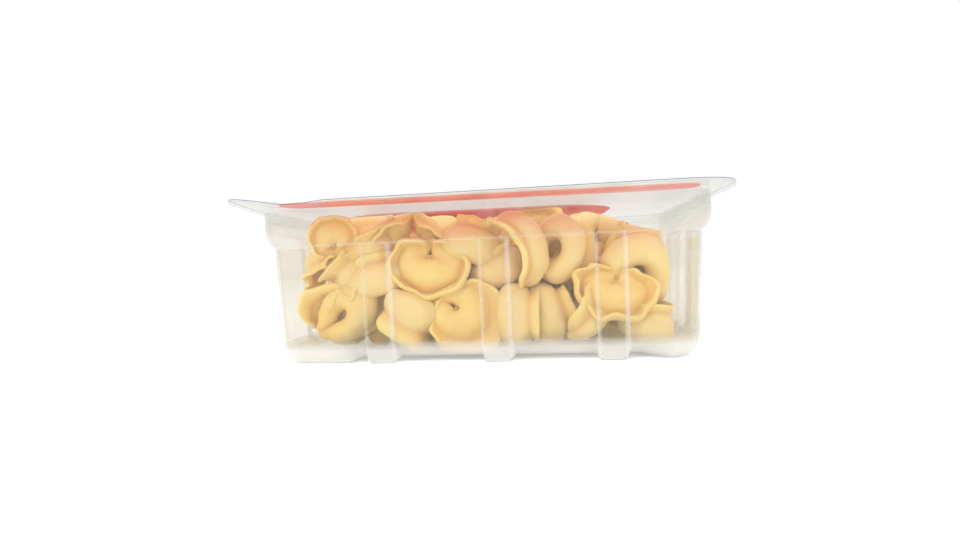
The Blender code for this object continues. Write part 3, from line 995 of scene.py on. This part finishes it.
def makeHeap():
    v = heapValues
    chance = random.Random(v["seed"])
    template = ringTemplate(24, 48)
    groups = {"tortelliniMiddle": bmesh.new(), "tortelliniBack": bmesh.new()}
    for number, (y, x, z) in enumerate(product(v["rows"], v["columns"], v["layers"]), v["firstNumber"]):
        place = [value + chance.uniform(-1, 1) * v["jitter"] for value in (x, y, z)]
        front = Vector([chance.gauss(0, 1) for axis in range(3)])
        edge = Vector([chance.gauss(0, 1) for axis in range(3)])
        shape = {name: chance.uniform(*ends) for name, ends in v["shapes"].items()}
        if unseen(x, y, z):
            continue
        name = "tortelliniBack" if y > v["backRow"] else "tortelliniMiddle"
        makeDough(groups[name], template, doughSpot(number, place, front, edge, **shape))
    bpy.data.meshes.remove(template)
    for name, bm in groups.items():
        finishPasta(name, bm)


def finishPasta(name, bm):
    bmesh.ops.remove_doubles(bm, verts=bm.verts, dist=0.00001)
    bmesh.ops.recalc_face_normals(bm, faces=bm.faces)
    piece = addPiece(name, bm, pastaMaterial())
    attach(piece, "root")
    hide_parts("tortellini")


pastaLook = {
    "deep": (0.93, 0.62, 0.16),
    "pale": (0.99, 0.80, 0.34),
    "patches": (0.32, 0.72),
    "patchScale": 120.0,
    "toneShare": 0.45,          # how far the paleness goes by piece and not by patch
    "filling": ((0.90, 0.70, 0.38), 0.55),      # colour over the filling, and how strong
    "edge": ((0.985, 0.77, 0.28), 0.35),
    # painted shade: deep golden brown in the creases and where the ends meet
    "foldShade": ((0.80, 0.40, 0.085), 0.55),
    "grain": (900.0, 0.25, 0.2 * mm),           # scale, strength and depth
    "roughness": (0.40, 0.58),
    "shader": {
        "IOR": 1.42,
        "Subsurface Weight": 0.22,
        "Subsurface Radius": (1.0, 0.55, 0.22),
        "Subsurface Scale": 2.2 * mm,
    },
}


def pastaMaterial():
    known = bpy.data.materials.get("eggPasta")
    if known:
        return known
    v = pastaLook
    material, tree = newMaterial("eggPasta")
    place = objectPlace(tree)
    blotch = cloudy(tree, place, v["patchScale"], 3.0, 0.55)
    pale = mixNumber(tree, v["toneShare"], mapped(tree, blotch, *v["patches"]), stored(tree, "tone"))
    colour = mixColour(tree, pale, v["deep"], v["pale"])
    for attribute, name in (("filled", "filling"), ("thin", "edge"), ("foldShade", "foldShade")):
        tint, most = v[name]
        colour = mixColour(tree, mathNode(tree, "MULTIPLY", stored(tree, attribute), most), colour, tint)
    scale, strength, depth = v["grain"]
    look = {
        "Base Color": colour,
        "Roughness": mapped(tree, blotch, 0.0, 1.0, *v["roughness"]),
        "Normal": bumped(tree, cloudy(tree, place, scale, 4.0, 0.6), strength, depth),
    }
    showSurface(tree, addNode(tree, "ShaderNodeBsdfPrincipled", look | v["shader"]))
    return material


coreValues = {
    "low": (-50.0, -35.0, 6.0),         # in mm
    "high": (44.0, 36.0, 39.0),
    "cuts": 14,
    "boxiness": 5,
    "lumps": (90, 3.0),         # scale, and depth in mm
    # painted shade: dark browns standing in for the shaded pasta deep in the heap
    "shadeColours": ((0.32, 0.16, 0.08), (0.50, 0.29, 0.14)),
    "colourScale": 90.0,
    "roughness": 0.7,
}


def makeCore():
    # the inside of the heap, behind everything that shows: a block painted dark brown as painted shade
    v = coreValues
    low, high, power = Vector(v["low"]), Vector(v["high"]), v["boxiness"]
    scale, depth = v["lumps"]
    bm = bmesh.new()
    bmesh.ops.create_cube(bm, size=2.0)
    bmesh.ops.subdivide_edges(bm, edges=bm.edges, cuts=v["cuts"], use_grid_fill=True)
    middle = (low + high) * 0.5 * mm
    half = (high - low) * 0.5 * mm
    for vert in bm.verts:
        vert.co /= sum(abs(value) ** power for value in vert.co) ** (1 / power)
        vert.co = vert.co * half + middle
        vert.co += noise.noise_vector(vert.co * scale) * depth * mm
    bmesh.ops.recalc_face_normals(bm, faces=bm.faces)
    core = addPiece("heapCore", bm, coreMaterial())
    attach(core, "root")
    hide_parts("tortellini")


def coreMaterial():
    v = coreValues
    material, tree = newMaterial("shadedPasta")
    colour = mixColour(tree, cloudy(tree, objectPlace(tree), v["colourScale"], 3.0), *v["shadeColours"])
    look = {"Base Color": colour, "Roughness": v["roughness"]}
    showSurface(tree, addNode(tree, "ShaderNodeBsdfPrincipled", look))
    return material


crumbValues = {
    "seed": 4,
    "count": 26,
    "sizes": (0.25, 0.65),      # in mm
    "heights": (5.0, 15.0),
    "flatness": 0.6,
    "tallness": (0.6, 1.3),
    "backEvery": 4,             # one in so many is on the far wall
}


def makeCrumbs():
    # bits of flour and dough stuck to the inside of the walls, low down
    v = crumbValues
    chance = random.Random(v["seed"])
    bm = bmesh.new()
    for number in range(v["count"]):
        size = chance.uniform(*v["sizes"]) * mm
        height = chance.uniform(*v["heights"]) * mm
        halfX, halfY, corner = trayRoom(height)
        x = chance.uniform(-1, 1) * (halfX - corner)
        y = (halfY - size) * (-1 if number % v["backEvery"] else 1)
        turn = Matrix.Rotation(chance.uniform(0, pi), 4, "Z")
        stretch = Matrix.Diagonal((1.0, v["flatness"], chance.uniform(*v["tallness"]), 1.0))
        bmesh.ops.create_icosphere(bm, subdivisions=2, radius=size,
                                   matrix=Matrix.Translation((x, y, height)) @ turn @ stretch)
    finishPasta("crumbs", bm)


makeCamera()
makeLights()
makeFloor()
print("camera, lights and floor are up")
makeTray()
print("tray is moulded")
makeFilm()
print("film is on")
makeFrontTortellini()
print("tortellini behind the near wall are in")
makeHeap()
makeCore()
print("the rest of the heap is in")
makeCrumbs()
print("crumbs are scattered")
